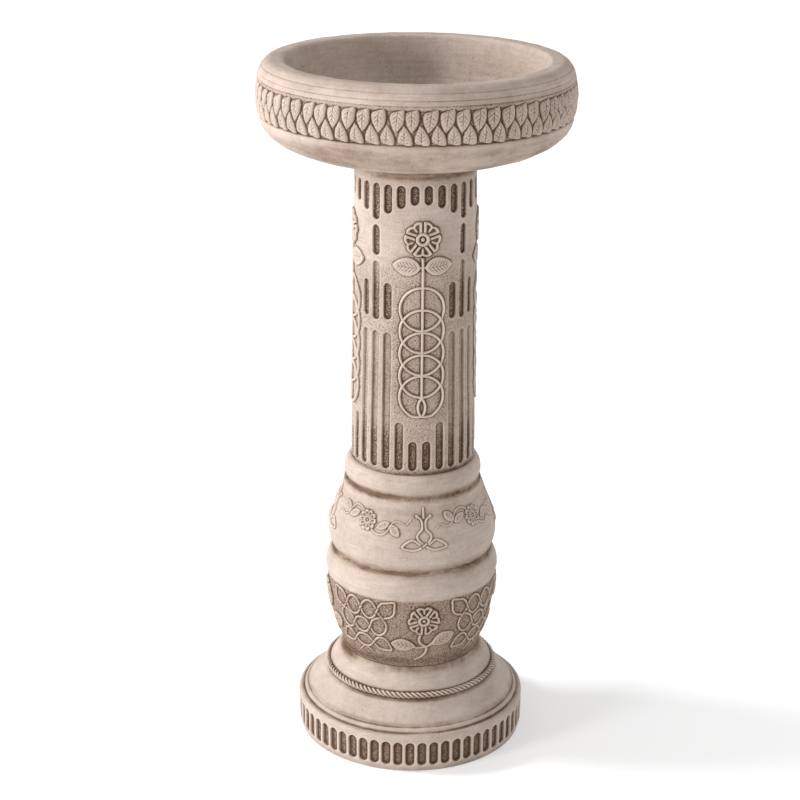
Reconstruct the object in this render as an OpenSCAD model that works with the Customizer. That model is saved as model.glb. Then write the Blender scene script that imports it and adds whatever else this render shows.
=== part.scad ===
// Bird bath in cast stone, stacked from four castings: a fluted base, a vase, a fluted column and a bowl.
// Each joint between two castings has a steel dowel, a plastic sleeve for it and a flat rubber seat ring.
// Millimetres, +Z up. The origin is the centre of the base's underside, and a carved face looks along -Y.

/* [Castings] */
// Height of the base casting
base_h = 102; // [85:1:125]
// Height of the vase casting
vase_h = 222; // [180:1:270]
// Height of the column casting
column_h = 328; // [270:1:400]
// Height of the bowl casting
bowl_h = 105; // [100:1:130]
// Open joint that shows between two castings
joint_gap = 1; // [0.5:0.1:2]

/* [Base] */
// Diameter over the fluted rim
base_d = 253; // [210:1:310]
// Height of the rim's upright face
rim_h = 40; // [38:0.5:42]
// How far the foot stands in from the rim
foot_inset = 3; // [1:0.5:6]
// Width and height of each of the two rounded steps above the rim
step = 4; // [3:0.5:5]
// Diameter of the ring that the rope lies on, at the rope's centre
rope_ring_d = 186; // [176:1:196]
// Thickness of the rope
rope_d = 6.2; // [4:0.2:8]
// Depth of the rope's centre below the top of the base
rope_drop = 26; // [20:0.5:30]
// Diameter of the base's top and of the vase's foot
neck_d = 152.5; // [130:0.5:160]

/* [Base flutes] */
// Number of flutes round the rim
rim_flutes = 60; // [40:4:64]
// Width of a rim flute
rim_flute_w = 8.8; // [6:0.1:9.4]
// Height of a rim flute
rim_flute_h = 27; // [20:0.5:30]
// Height of a rim flute's lower end
rim_flute_z = 7.7; // [5:0.1:9]
// Depth of a rim flute
rim_flute_depth = 3; // [1:0.25:5]

/* [Vase] */
// Largest diameter of the lower half
bulge_d = 189.5; // [175:0.5:210]
// Height of the waist above the vase's foot
waist_h = 118; // [108:1:125]
// Diameter at the waist
waist_d = 176; // [166:0.5:186]
// Largest diameter of the upper half
belly_d = 185.5; // [170:0.5:200]
// Diameter at the shoulder and of the collar ring above it
collar_d = 149.5; // [142:0.5:156]
// Height of the collar ring
collar_h = 25; // [20:1:30]

/* [Column] */
// Diameter of the column's foot
column_foot_d = 135; // [110:0.5:138]
// Diameter of the column's top and of the bowl's seat
column_top_d = 128.5; // [108:0.5:134]

/* [Column flutes] */
// Number of flutes round the column if none made way for the carved faces
column_flutes = 28; // [28]
// Width of a column flute
flute_w = 7.8; // [5:0.1:10]
// Depth of a column flute
flute_depth = 3; // [1:0.25:5]
// Depth of the top row's upper ends below the column's top
flute_top = 14; // [10:0.5:20]
// Height of the lower ends above the column's foot
flute_foot = 5; // [4:0.5:12]

/* [Bowl] */
// Largest diameter of the bowl
bowl_d = 333.5; // [300:0.5:400]
// Height of the carved band above the bowl's seat
band_z = 47; // [42:0.5:50]
// Height of the carved band
band_h = 41; // [34:0.5:43]
// Width of the rim, from the largest diameter to the basin
rim_w = 31; // [26:0.5:38]
// Depth of the basin
basin_depth = 70; // [50:1:74]

/* [Joints between castings] */
// Diameter of a dowel
dowel_d = 16; // [10:0.5:20]
// Length of dowel bedded in the lower casting
dowel_bed = 60; // [40:1:70]
// Length of dowel that stands up into the vase and into the column
dowel_up = 36; // [20:1:45]
// Length of dowel that stands up into the bowl
bowl_dowel_up = 18; // [12:1:20]
// Bonding gap round a dowel in its hole and round a sleeve in its hole
bond_gap = 0.2; // [0.1:0.05:0.5]
// Running gap between a dowel and its sleeve
slip_gap = 0.5; // [0.3:0.1:1]
// Wall of a sleeve
sleeve_wall = 2.5; // [1.5:0.25:4]
// Play above a dowel inside its sleeve
end_play = 3; // [1:0.5:4]
// Thickness of a seat ring
ring_t = 3; // [2.5:0.5:5]
// Width of a seat ring
ring_w = 14; // [8:1:20]
// How far a seat ring lies in from the edge of its joint
ring_inset = 12; // [6:1:16]
// Gap round a seat ring in its groove
ring_gap = 0.5; // [0.3:0.1:1]

/* [Hidden] */
$fn = 96;

// Heights of the castings' undersides
vase_z = base_h + joint_gap;
column_z = vase_z + vase_h + joint_gap;
bowl_z = column_z + column_h + joint_gap;

base_r = base_d / 2;
rope_r = rope_ring_d / 2;
neck_r = neck_d / 2;
bulge_r = bulge_d / 2;
waist_r = waist_d / 2;
belly_r = belly_d / 2;
collar_r = collar_d / 2;
foot_r = column_foot_d / 2;
top_r = column_top_d / 2;
bowl_r = bowl_d / 2;
dowel_r = dowel_d / 2;
sleeve_r = dowel_r + slip_gap + sleeve_wall;

// The column has this many carved faces
faces = 4;
flute_pitch = 360 / column_flutes;
// Angle by which the column's side leans in
lean = atan((foot_r - top_r) / column_h);

// Flutes on each side of a carved face, one line per flute:
// place outwards from the face's middle, depth of the upper end and of the lower end below the column's top.
// The flutes at place 3 lie midway between two faces, so each pair of faces shares them.
upper_flutes = [
    [0, flute_top, 33],
    [1, flute_top, 37],
    [2, flute_top, 43.5],
    [3, flute_top, 51.5],
    [3, 58, 89.5],
    [3, 96.5, 159],
    [2, 118.5, 157]
];
// Depth below the column's top of the long flutes' upper ends
long_flute_top = 172;
// Flutes that stand on the foot: place outwards and height of the upper end above the foot
foot_flutes = [[0, 37], [1, 58]];
long_places = [2, 3];

// Points of a curve from a to d that leaves a towards b and reaches d from c
function curve(a, b, c, d, steps = 8) = [
    for (i = [0 : steps])
        let (t = i / steps, u = 1 - t)
        u * u * u * a + 3 * u * u * t * b + 3 * u * t * t * c + t * t * t * d
];

// Points of a quarter round from [r, z] that rises and turns in by size
function quarter_round(r, z, size, steps = 5) = [
    for (i = [0 : steps])
        let (a = 90 * i / steps)
        [r - size + size * cos(a), z + size * sin(a)]
];

// Radius of the column's side at a height above its foot
function column_r(z) = foot_r + (top_r - foot_r) * z / column_h;

// Cutter for a round-ended flute: it is centred on the origin, with its floor in the plane x = 0
module flute(width, length, reach) {
    straight = length - width;
    translate([0, -width / 2, -straight / 2])
        cube([reach, width, straight]);
    for (end = [-1, 1])
        translate([0, 0, end * straight / 2])
            rotate([0, 90, 0])
                cylinder(d = width, h = reach, $fn = 32);
}

// Flute in the column between two heights above its foot, at an angle from a carved face's middle
module column_flute(angle, low, high) {
    middle = (low + high) / 2;
    rotate([0, 0, angle - 90])
        translate([column_r(middle) - flute_depth, 0, middle])
            rotate([0, -lean, 0])
                flute(flute_w, high - low, flute_depth + 5);
}

// Every flute to one side of a carved face: side is 1 or -1
module face_flutes(side) {
    for (f = upper_flutes)
        if (f[0] < 3 || side > 0)
            column_flute(side * (f[0] + 0.5) * flute_pitch, column_h - f[2], column_h - f[1]);
    for (f = foot_flutes)
        column_flute(side * (f[0] + 0.5) * flute_pitch, flute_foot, f[1]);
    for (place = long_places)
        if (place < 3 || side > 0)
            column_flute(side * (place + 0.5) * flute_pitch, flute_foot, column_h - long_flute_top);
}

// Hole in a casting's top that a dowel is bonded into; the origin is at the hole's mouth
module dowel_hole() {
    translate([0, 0, -dowel_bed])
        cylinder(r = dowel_r + bond_gap, h = dowel_bed + 1);
}

// Depth inside a sleeve, from its mouth to its closed end
function sleeve_depth(up) = up - joint_gap + end_play;

// Hole and ring groove in a casting's underside; the origin is at the underside
module seat_cuts(up, edge_r) {
    translate([0, 0, -1])
        cylinder(r = sleeve_r + bond_gap, h = sleeve_depth(up) + sleeve_wall + 1);
    translate([0, 0, -1])
        difference() {
            cylinder(r = edge_r - ring_inset + ring_gap, h = ring_t - joint_gap + 1);
            cylinder(r = edge_r - ring_inset - ring_w - ring_gap, h = ring_t - joint_gap + 1);
        }
}

// Dowel with its lower end bedded; the origin is at the mouth of its hole
module dowel(up) {
    translate([0, 0, -dowel_bed])
        cylinder(r = dowel_r, h = dowel_bed + up);
}

// Sleeve with a closed top; the origin is at its mouth
module sleeve(up) {
    difference() {
        cylinder(r = sleeve_r, h = sleeve_depth(up) + sleeve_wall);
        translate([0, 0, -1])
            cylinder(r = dowel_r + slip_gap, h = sleeve_depth(up) + 1);
    }
}

// Flat ring that the upper casting rests on; the origin is at the ring's underside
module seat_ring(edge_r) {
    difference() {
        cylinder(r = edge_r - ring_inset, h = ring_t);
        translate([0, 0, -1])
            cylinder(r = edge_r - ring_inset - ring_w, h = ring_t + 2);
    }
}

// Outline of the base: rim, two rounded steps, slope up to the rope and hollow neck
base_outline = concat(
    [[0, 0]],
    curve([base_r - foot_inset, 0], [base_r - 1.5, 5], [base_r, 8], [base_r, 14], 5),
    quarter_round(base_r, rim_h, step),
    quarter_round(base_r - step - 2, rim_h + step + 1, step),
    curve(
        [base_r - 2 * step - 3, rim_h + 2 * step + 3],
        [base_r - 2 * step - 8, rim_h + 2 * step + 9],
        [rope_r + 9, base_h - rope_drop - 12],
        [rope_r + 3, base_h - rope_drop - 6]
    ),
    curve(
        [rope_r - 2, base_h - rope_drop + 3],
        [rope_r - 8, base_h - rope_drop + 11],
        [neck_r + 5, base_h - 9],
        [neck_r, base_h]
    ),
    [[0, base_h]]
);

module base_casting() {
    color("#b3a293")
    difference() {
        union() {
            rotate_extrude()
                polygon(base_outline);
            rotate_extrude()
                translate([rope_r, base_h - rope_drop])
                    circle(d = rope_d, $fn = 24);
        }
        for (i = [0 : rim_flutes - 1])
            rotate([0, 0, (i + 0.5) * 360 / rim_flutes - 90])
                translate([base_r - rim_flute_depth, 0, rim_flute_z + rim_flute_h / 2])
                    flute(rim_flute_w, rim_flute_h, rim_flute_depth + 5);
        translate([0, 0, base_h])
            dowel_hole();
    }
}

// Outline of the vase: lower bulge, waist, upper belly, shoulder and collar ring
shoulder_z = vase_h - collar_h;
bulge_z = waist_h - 31;
vase_outline = concat(
    [[0, 0]],
    curve([neck_r, 0], [neck_r + 5, 18], [bulge_r - 0.2, bulge_z - 39], [bulge_r - 0.8, bulge_z]),
    curve([bulge_r + 0.6, bulge_z + 8], [bulge_r + 0.6, bulge_z + 19], [waist_r, waist_h - 3], [waist_r, waist_h]),
    curve([waist_r + 1.4, waist_h + 4.5], [waist_r + 4.6, waist_h + 12], [belly_r + 0.8, waist_h + 22], [belly_r - 1.8, waist_h + 33]),
    curve([belly_r - 2.1, waist_h + 34], [belly_r - 5.5, waist_h + 45], [collar_r + 3, shoulder_z - 18], [collar_r, shoulder_z], 12),
    curve([collar_r - 2.4, shoulder_z + 3], [collar_r + 0.3, shoulder_z + 6.5], [collar_r + 1.8, vase_h - 5], [collar_r - 5.7, vase_h]),
    [[0, vase_h]]
);

module vase_casting() {
    color("#b5a496")
    translate([0, 0, vase_z])
        difference() {
            rotate_extrude()
                polygon(vase_outline);
            seat_cuts(dowel_up, neck_r);
            translate([0, 0, vase_h])
                dowel_hole();
        }
}

module column_casting() {
    color("#b8a798")
    translate([0, 0, column_z])
        difference() {
            cylinder(r1 = foot_r, r2 = top_r, h = column_h);
            for (face = [0 : faces - 1])
                rotate([0, 0, face * 360 / faces])
                    for (side = [-1, 1])
                        face_flutes(side);
            seat_cuts(dowel_up, foot_r);
            translate([0, 0, column_h])
                dowel_hole();
        }
}

// Outline of the bowl: underside, carved band, rolled rim and basin
basin_r = bowl_r - rim_w;
floor_z = bowl_h - basin_depth;
bowl_outline = concat(
    [[0, 0]],
    curve([top_r, 0], [top_r + 46, 8.5], [bowl_r - 9, band_z - 30], [bowl_r - 4, band_z], 12),
    curve([bowl_r - 3, band_z + 2], [bowl_r + 1, band_z + 14], [bowl_r + 1, band_z + band_h - 14], [bowl_r - 3, band_z + band_h]),
    curve([bowl_r - 4, bowl_h - 14], [bowl_r - 5.5, bowl_h - 6], [bowl_r - 12, bowl_h], [bowl_r - 18, bowl_h], 6),
    curve([basin_r + 6.5, bowl_h], [basin_r + 2, bowl_h], [basin_r, bowl_h - 1.5], [basin_r, bowl_h - 4], 5),
    curve([basin_r - 1, bowl_h - 12], [basin_r - 6, floor_z + 18], [basin_r - 30, floor_z + 3], [basin_r - 72, floor_z + 0.6], 12),
    [[0, floor_z]]
);

module bowl_casting() {
    color("#baa99a")
    translate([0, 0, bowl_z])
        difference() {
            rotate_extrude()
                polygon(bowl_outline);
            seat_cuts(bowl_dowel_up, top_r);
        }
}

module vase_dowel() {
    color("#8d9194")
    translate([0, 0, base_h])
        dowel(dowel_up);
}

module column_dowel() {
    color("#8d9194")
    translate([0, 0, vase_z + vase_h])
        dowel(dowel_up);
}

module bowl_dowel() {
    color("#8d9194")
    translate([0, 0, column_z + column_h])
        dowel(bowl_dowel_up);
}

module vase_sleeve() {
    color("#3c3f42")
    translate([0, 0, vase_z])
        sleeve(dowel_up);
}

module column_sleeve() {
    color("#3c3f42")
    translate([0, 0, column_z])
        sleeve(dowel_up);
}

module bowl_sleeve() {
    color("#3c3f42")
    translate([0, 0, bowl_z])
        sleeve(bowl_dowel_up);
}

module vase_seat_ring() {
    color("#26221f")
    translate([0, 0, base_h])
        seat_ring(neck_r);
}

module column_seat_ring() {
    color("#26221f")
    translate([0, 0, vase_z + vase_h])
        seat_ring(foot_r);
}

module bowl_seat_ring() {
    color("#26221f")
    translate([0, 0, column_z + column_h])
        seat_ring(top_r);
}

base_casting();
vase_dowel();
vase_seat_ring();
vase_casting();
vase_sleeve();
column_dowel();
column_seat_ring();
column_casting();
column_sleeve();
bowl_dowel();
bowl_seat_ring();
bowl_casting();
bowl_sleeve();
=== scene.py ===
# %% [markdown]
# # A carved bird bath in cast stone
# The real object is stacked from four castings: a fluted base, a vase, a fluted column and a bowl.
# Each was poured in a rubber mould, brushed with a thin brown wash and wiped, so the wash stays in
# every hollow and the high places are pale. We build each casting as one dense turned surface and push
# its points in and out, as a carver would, so that the carving is real shape and catches real light.

# %% Load the fixed frame
import math

import bmesh
import bpy
import numpy as np
from mathutils import Matrix, Vector


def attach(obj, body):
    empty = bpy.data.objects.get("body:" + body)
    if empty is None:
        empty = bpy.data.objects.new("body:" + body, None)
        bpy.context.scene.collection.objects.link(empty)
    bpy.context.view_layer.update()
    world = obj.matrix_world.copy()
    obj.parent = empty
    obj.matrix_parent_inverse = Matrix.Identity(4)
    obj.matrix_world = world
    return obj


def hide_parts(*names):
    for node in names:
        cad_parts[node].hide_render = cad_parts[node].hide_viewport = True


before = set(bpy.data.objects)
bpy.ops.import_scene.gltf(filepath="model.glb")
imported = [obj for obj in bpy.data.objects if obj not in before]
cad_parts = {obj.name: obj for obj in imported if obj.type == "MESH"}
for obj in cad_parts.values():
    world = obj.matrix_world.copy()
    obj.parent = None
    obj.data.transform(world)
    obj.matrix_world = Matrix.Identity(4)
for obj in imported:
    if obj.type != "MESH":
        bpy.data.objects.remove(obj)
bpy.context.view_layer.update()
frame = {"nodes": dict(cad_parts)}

MM = 0.001
print("castings and fittings in the frame:", ", ".join(frame["nodes"]))

# %% [markdown]
# ## The outline of a casting
# Each casting is turned about one upright axis, so its whole plain shape is one outline. We don't draw
# that outline again: we cut the frame's own solid with a plane through the axis and read the cut edge.
# The cut is made at the middle of the front, where no flute is in the way.

# %% Read an outline from the frame
CUT_ANGLE = math.radians(0.4)


def half_section(node):
    """The (radius, height) points in millimetres of a casting's cut edge, from its lower axis point up."""
    solid = bmesh.new()
    solid.from_mesh(frame["nodes"][node].data)
    bmesh.ops.remove_doubles(solid, verts=solid.verts, dist=1e-6)
    across = Vector((math.cos(CUT_ANGLE), math.sin(CUT_ANGLE), 0))
    outward = Vector((math.sin(CUT_ANGLE), -math.cos(CUT_ANGLE), 0))
    everything = solid.verts[:] + solid.edges[:] + solid.faces[:]
    bmesh.ops.bisect_plane(
        solid, geom=everything, plane_co=(0, 0, 0), plane_no=across, clear_inner=True, clear_outer=True
    )
    place = {v: (v.co.dot(outward) / MM, v.co.z / MM) for v in solid.verts}
    kept = {v for v, p in place.items() if p[0] > 0.05}
    beside = {v: [e.other_vert(v) for e in v.link_edges if e.other_vert(v) in kept] for v in kept}
    here = min((v for v in kept if len(beside[v]) == 1), key=lambda v: place[v][1])
    points, seen = [], set()
    while here is not None:
        points.append(place[here])
        seen.add(here)
        here = next((v for v in beside[here] if v not in seen), None)
    solid.free()
    points = [(0.0, points[0][1])] + points + [(0.0, points[-1][1])]
    return without_straight_points(points)


def without_straight_points(points, slack=0.004):
    """Drops each point that lies on the line between its neighbours."""
    kept = [points[0]]
    for here, after in zip(points[1:-1], points[2:]):
        before = kept[-1]
        run = math.dist(before, after)
        area = (after[0] - before[0]) * (here[1] - before[1]) - (after[1] - before[1]) * (here[0] - before[0])
        if run > 0 and abs(area) / run > slack:
            kept.append(here)
    return kept + [points[-1]]


sections = {name: half_section(name + "_casting") for name in ("base", "vase", "column", "bowl")}
for name, section in sections.items():
    print(name, "outline:", len(section), "points, widest", round(max(p[0] for p in section), 1), "mm")

# %% [markdown]
# ## Rows of points along the outline
# Carving needs points close together, plain stone doesn't. So each casting says how far apart its rows
# may be at each height. Between the outline's own points the rows follow a smooth curve, and an edge
# that turns sharply stays an edge.

# %% Place the rows
SHARP_TURN = 35


def trace(section, spacing):
    """Rows along an outline: spacing(radius, height) gives the wanted distance between two rows."""
    points = np.array(section)
    step = np.diff(points, axis=0)
    length = np.hypot(*step.T)
    unit = step / length[:, None]
    turn = np.degrees(np.arccos(np.clip((unit[:-1] * unit[1:]).sum(1), -1, 1)))
    rows = [points[0]]
    for i in range(len(step)):
        start, end = unit[i], unit[i]
        if i > 0 and turn[i - 1] < SHARP_TURN:
            start = unit[i - 1] * length[i] + unit[i] * length[i - 1]
        if i < len(step) - 1 and turn[i] < SHARP_TURN:
            end = unit[i + 1] * length[i] + unit[i] * length[i + 1]
        start = start / np.hypot(*start) * length[i]
        end = end / np.hypot(*end) * length[i]
        count = max(1, math.ceil(length[i] / spacing(*((points[i] + points[i + 1]) / 2))))
        t = (np.arange(1, count + 1) / count)[:, None]
        rows.extend(
            (2 * t**3 - 3 * t**2 + 1) * points[i]
            + (t**3 - 2 * t**2 + t) * start
            + (3 * t**2 - 2 * t**3) * points[i + 1]
            + (t**3 - t**2) * end
        )
    return np.clip(np.vstack(rows), points.min(0), points.max(0))


def run_along(points):
    """How far along a line each of its points lies."""
    return np.concatenate([[0], np.cumsum(np.hypot(*np.diff(points, axis=0).T))])


def outward_normals(rows):
    """Unit vectors that point out of the stone, one for each row."""
    slope = np.gradient(rows, axis=0)
    slope /= np.maximum(np.hypot(*slope.T), 1e-9)[:, None]
    return np.stack([slope[:, 1], -slope[:, 0]], 1)


# %% [markdown]
# ## One sector of the carving
# The carver made one sector of each casting and repeated it, four times or, on the vase, twice. We do the
# same: a `Relief` holds the height of the carving, in millimetres over the plain stone, on a grid that is
# one sector wide. What crosses the sector's side edge comes in again at the other side.

# %% Grid for a sector of a casting
class Relief:
    """Height of the carving over one sector of a casting's side, and how rough its ground is."""

    def __init__(self, rows, columns, inner_radius, repeats=4):
        self.rows = rows
        self.radius, self.z = rows.T
        self.columns = columns
        self.repeats = repeats
        self.sector = 360 / repeats
        self.angle = self.sector * (np.arange(columns // repeats) * repeats / columns - 0.5)
        self.side = self.radius > inner_radius
        self.height = np.zeros((len(rows), columns // repeats))
        self.ground = np.zeros_like(self.height)
        self.flute = np.zeros_like(self.height)

    def band(self, low, high):
        """The numbers of the rows of the side between two heights."""
        return np.nonzero(self.side & (self.z >= low) & (self.z <= high))[0]

    def place(self, rows, centre, radius=None):
        """Millimetres round from a centre angle, and height, for every grid point of some rows."""
        turn = (self.angle - centre + self.sector / 2) % self.sector - self.sector / 2
        reach = self.radius[rows] if radius is None else np.full(len(rows), radius)
        return np.radians(turn)[None, :] * reach[:, None], np.repeat(self.z[rows][:, None], len(turn), 1)


# %% [markdown]
# ## Lines and distances
# All the carving is strands, leaves, roses and flutes. Each of them works out, for every point of the grid,
# how far that point is from a line or an outline, and turns this distance into a height. So the first
# helpers make smooth lines from a few given points, and measure distances to them.

# %% Helpers for lines and distances
def soft_step(low, high, value):
    """0 below low, 1 above high and a smooth change between them. A low above high turns it round."""
    t = np.clip((value - low) / (high - low), 0, 1)
    return t * t * (3 - 2 * t)


def fading(value, centre, spread):
    """1 at the centre, fading away on both sides of it."""
    return np.exp(-(((value - centre) / spread) ** 2))


def spline(points, steps=10):
    """A smooth line through given points."""
    p = np.array(points, float)
    p = np.vstack([2 * p[0] - p[1], p, 2 * p[-1] - p[-2]])
    t = (np.arange(steps) / steps)[:, None]
    line = []
    for a, b, c, d in zip(p[:-3], p[1:-2], p[2:-1], p[3:]):
        line.append(
            0.5 * (2 * b + (c - a) * t + (2 * a - 5 * b + 4 * c - d) * t**2 + (3 * b - a - 3 * c + d) * t**3)
        )
    return np.vstack(line + [p[-2:-1]])


def distance_to_line(x, y, line, square_ends=False):
    """Distance to a line of points, and how far along it the nearest place is, from 0 to 1."""
    best = np.full(x.shape, 1e9)
    along = np.zeros(x.shape)
    length = np.hypot(*np.diff(line, axis=0).T)
    passed = run_along(line)
    for i, (a, b) in enumerate(zip(line[:-1], line[1:])):
        if length[i] == 0:
            continue
        unit = (b - a) / length[i]
        forward = (x - a[0]) * unit[0] + (y - a[1]) * unit[1]
        clipped = np.clip(forward, 0, length[i])
        away = np.hypot(x - a[0] - clipped * unit[0], y - a[1] - clipped * unit[1])
        if square_ends and i in (0, len(length) - 1):
            outside = forward < 0 if i == 0 else forward > length[i]
            away = np.where(outside, 1e9, away)
        nearer = away < best
        best[nearer] = away[nearer]
        along[nearer] = (passed[i] + clipped[nearer]) / passed[-1]
    return best, along


# %% [markdown]
# ## A strand
# Stems, rings and knots are strands with a round back, like a cord laid on the stone. Where one strand
# runs over another, it is laid again over a short stretch, with a fine groove on each side.

# %% Strands and crossings
CROSSING_REACH = 3.4
CROSSING_GROOVE = 0.6


def round_back(distance, width, height):
    """Height of a strand with a round back."""
    return height * np.clip(1 - (2 * distance / width) ** 2, 0, 1) ** 0.6


def draw_strand(relief, centre, points, width, height, radius=None, taper=0.0):
    """A strand over the plain stone. taper is how much thinner its far end is, from 0 to 1."""
    line = spline(points)
    rows = relief.band(line[:, 1].min() - width, line[:, 1].max() + width)
    x, y = relief.place(rows, centre, radius)
    distance, along = distance_to_line(x, y, line)
    shrink = 1 - taper * along
    raised = round_back(distance / shrink, width, height) * shrink
    relief.height[rows] = np.maximum(relief.height[rows], raised)


def pass_over(relief, centre, points, crossing, width, height, radius=None):
    """Lays a strand over another one where they cross, with a fine groove on each side of it."""
    line = spline(points)
    near = line[np.hypot(*(line - crossing).T) < CROSSING_REACH]
    rows = relief.band(near[:, 1].min() - width, near[:, 1].max() + width)
    x, y = relief.place(rows, centre, radius)
    distance, _ = distance_to_line(x, y, near, square_ends=True)
    under = distance < width / 2 + CROSSING_GROOVE
    relief.height[rows] = np.where(under, round_back(distance, width, height), relief.height[rows])


# %% [markdown]
# ## A leaf
# A leaf is two curved edges that meet at a tip. Its body falls off softly at the edge, and its midrib and
# side veins are cut into it with a narrow tool.

# %% Leaves
VEIN_WIDTH = 0.45


def draw_leaf(relief, centre, base, tip, width, height, radius=None, veins=4, fullness=0.45):
    """A leaf from its base to its tip, with a cut midrib and cut side veins."""
    base, tip = np.array(base, float), np.array(tip, float)
    length = math.dist(base, tip)
    unit = (tip - base) / length
    rows = relief.band(min(base[1], tip[1]) - width, max(base[1], tip[1]) + width)
    x, y = relief.place(rows, centre, radius)
    u = ((x - base[0]) * unit[0] + (y - base[1]) * unit[1]) / length
    v = -(x - base[0]) * unit[1] + (y - base[1]) * unit[0]
    inside = (u > 0) & (u < 1)
    t = np.clip(u, 0, 1)
    edge = width / 2 * np.sin(math.pi * t ** (math.log(0.5) / math.log(fullness))) ** 0.68
    gap = np.where(inside, edge - np.abs(v), -1)
    body = soft_step(-0.1, 0.9, gap) * (0.8 + 0.2 * np.clip(1 - np.abs(v) / np.maximum(edge, 0.1), 0, 1))
    rib = fading(v, 0, VEIN_WIDTH) * soft_step(0.1, 0.25, u) * soft_step(0.9, 0.7, u)
    pitch = length / (veins + 2.2)
    lean = (u * length - np.abs(v) * 0.9) / pitch
    side = fading((lean - np.round(lean)) * pitch, 0, VEIN_WIDTH)
    side = side * (np.round(lean) >= 1) * (np.round(lean) <= veins) * soft_step(0.5, 1.6, gap)
    rib = np.maximum(rib, 0.9 * side * soft_step(0.62, 0.4, np.abs(v) / np.maximum(edge, 0.1)))
    raised = np.where(gap > -0.1, height * body - 0.4 * height * rib * soft_step(0.3, 1.2, gap), 0)
    relief.height[rows] = np.maximum(relief.height[rows], raised)


# %% [markdown]
# ## A rose
# Five petals stand round a ring and a ball. Each petal fills one fifth of a turn and ends in two lobes. Its
# inside is hollowed, so that a raised edge and a short ridge remain.

# %% Roses
def draw_rose(relief, centre, middle, size, height, first_petal):
    """Five heart-shaped petals round a ring and a ball. first_petal is in degrees from straight up."""
    rows = relief.band(middle[1] - size * 1.1, middle[1] + size * 1.1)
    x, y = relief.place(rows, centre)
    x, y = (x - middle[0]) / size, (y - middle[1]) / size
    r = np.hypot(x, y)
    half = math.radians(36)
    around = np.arctan2(x, y) - math.radians(first_petal)
    off_axis = np.abs((around + half) % (2 * half) - half)
    to_side = np.maximum(r * np.sin(half - off_axis) - 0.02, 1e-3)
    to_end = np.maximum(0.885 + 0.115 * np.sin(0.877 * math.pi * off_axis / half) - r, 1e-3)
    edge = (to_side**-4 + to_end**-4) ** -0.25
    ridge = fading(r * np.sin(off_axis), 0, 0.04 + 0.07 * np.clip(r - 0.4, 0, 1))
    hollow = soft_step(0.11, 0.2, edge) * (1 - 0.85 * ridge * soft_step(0.42, 0.6, r))
    petals = (soft_step(0.0, 0.05, edge) - 0.9 * hollow) * soft_step(0.38, 0.42, r)
    ring = round_back(r - 0.285, 0.21, 1.05)
    ball = round_back(r, 0.24, 0.95)
    total = np.maximum(petals, np.maximum(ring, ball))
    inside = r < 1.02
    relief.height[rows] = np.where(inside & (total > 0), height * total, relief.height[rows])


# %% [markdown]
# ## A flute
# The flutes are in the frame too, with sharp edges. We cut them again with softer edges and a rough floor,
# and note where they are, because the wash stays on their floors and less at their edges.

# %% Flutes
FLUTE_DEPTH = 3.0


def cut_flute(relief, centre, low, high, width, stained=1.0):
    """A round-ended flute with a rough floor. stained is how much wash its upper part keeps."""
    rows = relief.band(low - 2, high + 2)
    x, y = relief.place(rows, centre)
    half = (high - low - width) / 2
    beyond = np.maximum(np.abs(y - (low + high) / 2) - half, 0)
    inside = width / 2 - np.hypot(x, beyond)
    floor = soft_step(-0.75, 0.15, inside)
    relief.height[rows] = relief.height[rows] * (1 - floor) - FLUTE_DEPTH * floor
    drained = stained + (1 - stained) * soft_step(low + 60, low + 20, y)
    relief.ground[rows] = np.maximum(relief.ground[rows], floor * drained)
    relief.flute[rows] = np.maximum(relief.flute[rows], floor * (1.1 - 0.6 * drained))


# %% [markdown]
# ## Grain and softening
# Cast stone is never perfectly smooth. `grain` makes random hills of a chosen size, the same ones each
# time, and `blurred` averages a grid with its neighbours. Where the blurred height is above the real one
# we are in a hollow, and that is where the brown wash stays.

# %% Grain, softening and hollows
def grain(shape, size, seed):
    """Random hills with a spread of 1; size is their width in grid steps, down and across."""
    noise = np.random.default_rng(seed).standard_normal(shape)
    down = np.fft.fftfreq(shape[0])[:, None] * size[0]
    across = np.fft.rfftfreq(shape[1])[None, :] * size[1]
    hills = np.fft.irfft2(np.fft.rfft2(noise) * np.exp(-3.0 * (down**2 + across**2)), s=shape)
    return (hills - hills.mean()) / hills.std()


def blurred(grid, down, across):
    """The grid averaged three times over boxes of 2 * down + 1 rows and 2 * across + 1 columns."""
    for _ in range(3):
        padded = np.pad(grid, ((down, down), (0, 0)), mode="edge")
        grid = sum(padded[i : i + len(grid)] for i in range(2 * down + 1)) / (2 * down + 1)
        grid = sum(np.roll(grid, i, axis=1) for i in range(-across, across + 1)) / (2 * across + 1)
    return grid


def creases(rows, reach):
    """How deep each row lies below the outline once that is smoothed over some millimetres."""
    run = run_along(rows)
    share = np.gradient(run)
    weight = np.exp(-(((run[:, None] - run[None, :]) / reach) ** 2) / 2) * share
    smooth = weight @ rows / weight.sum(1, keepdims=True)
    return ((smooth - rows) * outward_normals(rows)).sum(1)


# %% [markdown]
# ## From grid to casting
# `turn_casting` turns the outline round the axis, moves each point out or in by its carved height, and
# stores three values with each point for the finish: how much brown wash and painted shade it takes in
# hollows, creases and under overhangs, how rough its ground is, and how much it stands proud. The
# casting then takes the plain solid's place.

# %% Values for the finish
CREASE_REACH = 2.6


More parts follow.
